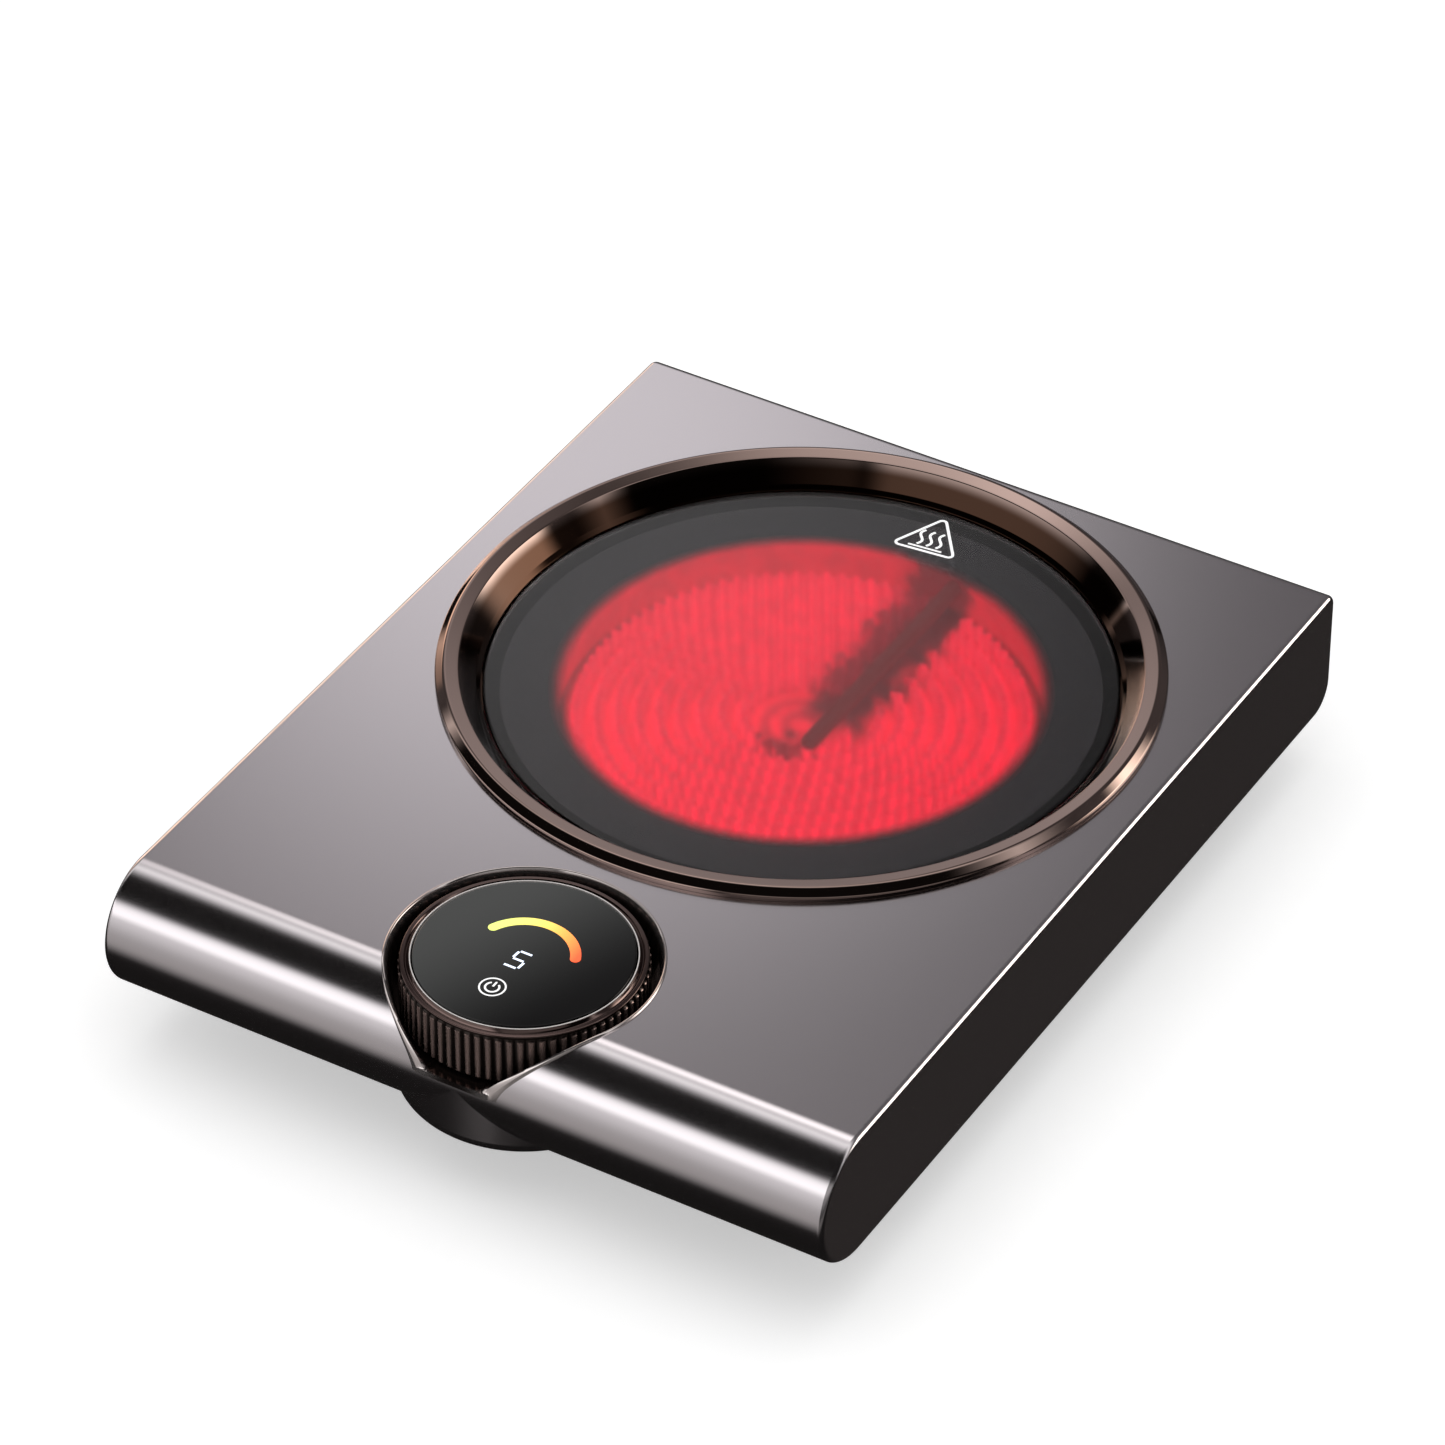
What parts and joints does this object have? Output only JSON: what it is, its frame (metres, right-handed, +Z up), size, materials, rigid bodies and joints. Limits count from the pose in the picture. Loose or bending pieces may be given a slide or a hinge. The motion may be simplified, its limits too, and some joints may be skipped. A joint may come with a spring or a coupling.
{
  "type": "hot plate burner",
  "caption": "Flat table-top infrared hot plate with a round glass cooking zone in a raised trim ring and a ribbed knob turning round a fixed display at the rounded front.",
  "frame": {"origin": "on the table, under the middle of the whole object's box", "axes": "+Z up, +X to the user's right, the user stands at -Y and the rounded nose with the knob points to -Y"},
  "size_m": [0.2, 0.2581, 0.056],
  "materials": {
    "housing_metal": "satin anodised, warm grey",
    "tray_steel": "matte black powder coat",
    "rubber": "matte",
    "zinc": "zinc plated",
    "ring_chrome": "dark bronze mirror plating",
    "gasket": "matte",
    "glass_ceramic": "polished dark glass ceramic",
    "sheet_steel": "plain",
    "insulation": "fibrous",
    "heating_alloy": "glowing",
    "limiter_tube": "matte",
    "ceramic": "matte",
    "spring_steel": "blued",
    "collar_chrome": "dark bronze mirror plating",
    "knob_metal": "dark bronze, ribbed",
    "bezel_chrome": "polished",
    "acetal": "matte",
    "black_plastic": "matte",
    "board": "solder mask",
    "display_white": "lit",
    "light_guide": "lit",
    "copper": "plain",
    "lens": "polished smoked glass",
    "heatsink": "extruded",
    "relay_blue": "gloss",
    "capacitor_yellow": "gloss",
    "ferrite": "matte",
    "terminal_green": "gloss",
    "fuse_ceramic": "matte",
    "fan_plastic": "matte",
    "inlet_plastic": "matte",
    "pin_metal": "nickel plated"
  },
  "bodies": {
    "housing": {"upper_shell": "housing_metal", "base_tray": "tray_steel", "rubber_feet": "rubber", "base_screws": "zinc", "trim_ring": "ring_chrome", "ring_screws": "zinc", "glass_gasket": "gasket", "glass_plate": "glass_ceramic", "heater_dish": "sheet_steel", "heater_insulation": "insulation", "insulation_rim": "insulation", "heating_ribbon": "heating_alloy", "limiter_rod": "limiter_tube", "limiter_switch": "ceramic", "heater_terminal_block": "ceramic", "heater_springs": "spring_steel", "knob_well": "collar_chrome", "knob_bracket": "sheet_steel", "well_screws": "zinc", "knob_bush": "acetal", "encoder_body": "black_plastic", "encoder_board": "board", "display_post": "sheet_steel", "display_carrier": "black_plastic", "display_board": "board", "digit_display": "display_white", "light_guide": "light_guide", "touch_electrode": "copper", "display_lens": "lens", "power_board": "board", "board_standoffs": "sheet_steel", "board_screws": "zinc", "heatsink": "heatsink", "triac": "black_plastic", "relay": "relay_blue", "filter_capacitor": "capacitor_yellow", "filter_choke": "ferrite", "screw_terminal": "terminal_green", "mains_fuse": "fuse_ceramic", "fan_frame": "fan_plastic", "fan_screws": "zinc", "power_inlet": "inlet_plastic", "inlet_pins": "pin_metal"},
    "knob": {"knob_ring": "knob_metal", "knob_bezel": "bezel_chrome", "knob_gear": "acetal", "knob_clip": "spring_steel"},
    "encoder_shaft": {"encoder_pinion": "acetal"},
    "fan_wheel": {"fan_rotor": "fan_plastic"}
  },
  "joints": [
    {"name": "knob_turn", "type": "hinge", "parent": "housing", "child": "knob", "pos_m": [0, -0.0967, 0.045], "axis": [0, 0, 1], "continuous": true},
    {"name": "encoder_spin", "type": "hinge", "parent": "housing", "child": "encoder_shaft", "pos_m": [0, -0.0747, 0.033], "axis": [0, 0, 1], "continuous": true},
    {"name": "fan_spin", "type": "hinge", "parent": "housing", "child": "fan_wheel", "pos_m": [0.0545, -0.0555, 0.012], "axis": [0, 0, 1], "continuous": true}
  ],
  "couplings": [
    {"joint": "encoder_spin", "follows": "knob_turn", "ratio": -2.6667}
  ]
}
